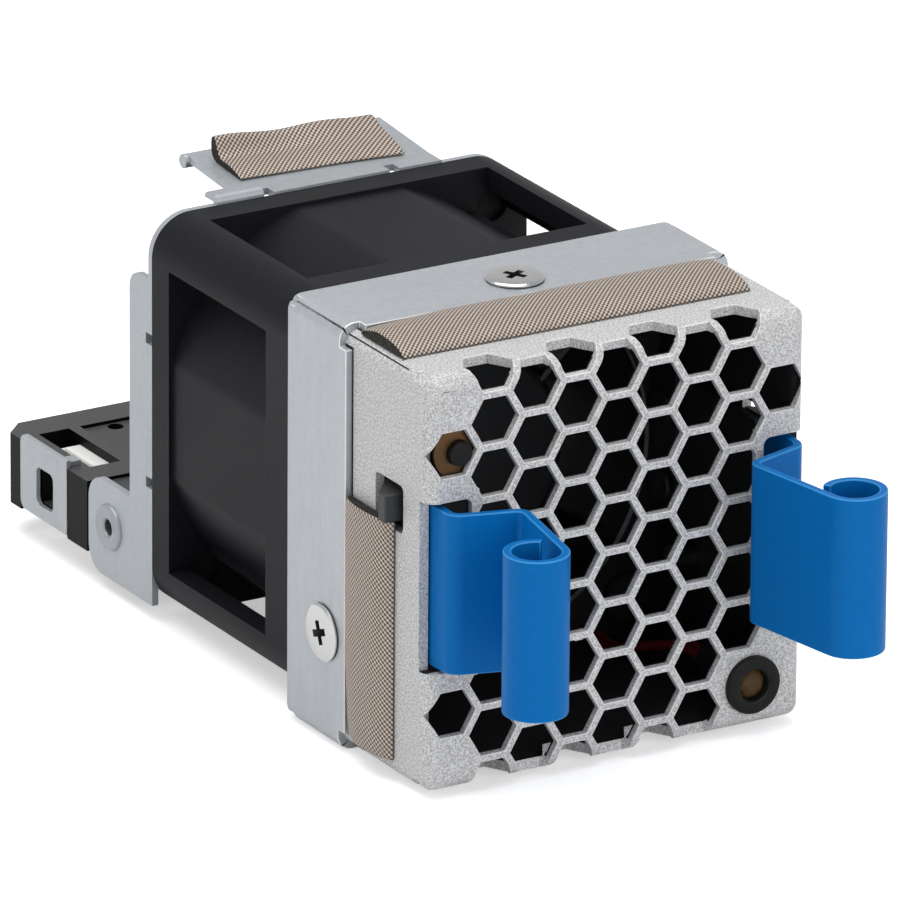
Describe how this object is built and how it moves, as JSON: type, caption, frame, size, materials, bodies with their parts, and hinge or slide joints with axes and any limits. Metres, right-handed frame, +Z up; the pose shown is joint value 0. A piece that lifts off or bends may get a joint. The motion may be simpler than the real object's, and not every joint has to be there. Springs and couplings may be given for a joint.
{
  "type": "server fan tray",
  "caption": "Hot-swap fan tray: honeycomb cap, axial fan, sprung pull handles, shielding gaskets and rear plug block.",
  "frame": {"origin": "middle of the pan's bottom flange, the face that the tray slides on", "axes": "+Y runs from the honeycomb face to the rear plug, +Z up, +X to the right seen from the front"},
  "size_m": [0.0446, 0.1016, 0.0448],
  "materials": {
    "cap_paint": "fine metallic silver powder coat",
    "zinc_plate": "satin bright zinc plating",
    "screw_plate": "bright nickel plating",
    "shield_cloth": "conductive woven cloth",
    "foam": "open-cell foam",
    "handle_blue": "smooth semi-gloss coat",
    "spring_steel": "dark spring steel",
    "latch_steel": "dark phosphate finish",
    "bezel_black": "semi-gloss",
    "lens_amber": "smoked amber, clear",
    "nut_brass": "turned",
    "insert_bronze": "dull bronze",
    "fan_plastic": "fine moulded texture",
    "rotor_plastic": "smooth moulded",
    "yoke_steel": "drawn steel",
    "magnet": "dull grey",
    "shaft_steel": "ground",
    "bearing_steel": "polished",
    "tube_brass": "turned",
    "core_steel": "stacked sheets",
    "copper": "enamelled copper wire",
    "board_green": "solder mask",
    "block_plastic": "fine moulded texture",
    "plug_white": "natural nylon",
    "contact_gold": "gold plated",
    "lead_sleeve": "insulated lead",
    "lamp_lead_sleeve": "insulated lead"
  },
  "bodies": {
    "tray": {"front_grille": "cap_paint", "cap_walls": "cap_paint", "fan_pan": "zinc_plate", "pan_screws": "screw_plate", "top_gasket": "shield_cloth", "top_gasket_foam": "foam", "side_gasket": "shield_cloth", "side_gasket_foam": "foam", "rear_gasket": "shield_cloth", "rear_gasket_foam": "foam", "leaf_root_left": "spring_steel", "leaf_root_right": "spring_steel", "leaf_rivets": "spring_steel", "lamp_bezel": "bezel_black", "lamp_lens": "lens_amber", "lamp_nut": "nut_brass", "spare_insert_nut": "insert_bronze", "spare_insert_plug": "bezel_black", "fan_frame": "fan_plastic", "bearing_tube": "tube_brass", "front_bearing": "bearing_steel", "rear_bearing": "bearing_steel", "stator_core": "core_steel", "stator_coils": "copper", "motor_board": "board_green", "frame_screws": "screw_plate", "rear_bracket": "zinc_plate", "ear_rivets": "screw_plate", "connector_housing": "block_plastic", "lead_plug": "plug_white", "side_clip": "zinc_plate", "contact_insert": "block_plastic", "rear_contacts": "contact_gold", "fan_leads": "lead_sleeve", "lamp_leads": "lamp_lead_sleeve"},
    "rotor": {"impeller": "rotor_plastic", "rotor_yoke": "yoke_steel", "magnet_ring": "magnet", "rotor_shaft": "shaft_steel", "shaft_clip": "spring_steel"},
    "handle_l": {"handle_left": "handle_blue", "latch_tab_left": "latch_steel"},
    "handle_r": {"handle_right": "handle_blue", "latch_tab_right": "latch_steel"}
  },
  "joints": [
    {"name": "rotor_spin", "type": "hinge", "parent": "tray", "child": "rotor", "pos_m": [0, 0.0163, 0.0215], "axis": [0, 1, 0], "continuous": true},
    {"name": "left_pinch", "type": "hinge", "parent": "tray", "child": "handle_l", "pos_m": [-0.0191, 0.0003, 0.02125], "axis": [0, 0, 1], "range_deg": [0, 7], "stiffness_Nm_per_rad": 1, "springref_deg": -1.72},
    {"name": "right_pinch", "type": "hinge", "parent": "tray", "child": "handle_r", "pos_m": [0.0191, 0.0003, 0.02125], "axis": [0, 0, -1], "range_deg": [0, 7], "stiffness_Nm_per_rad": 1, "springref_deg": -1.72}
  ]
}
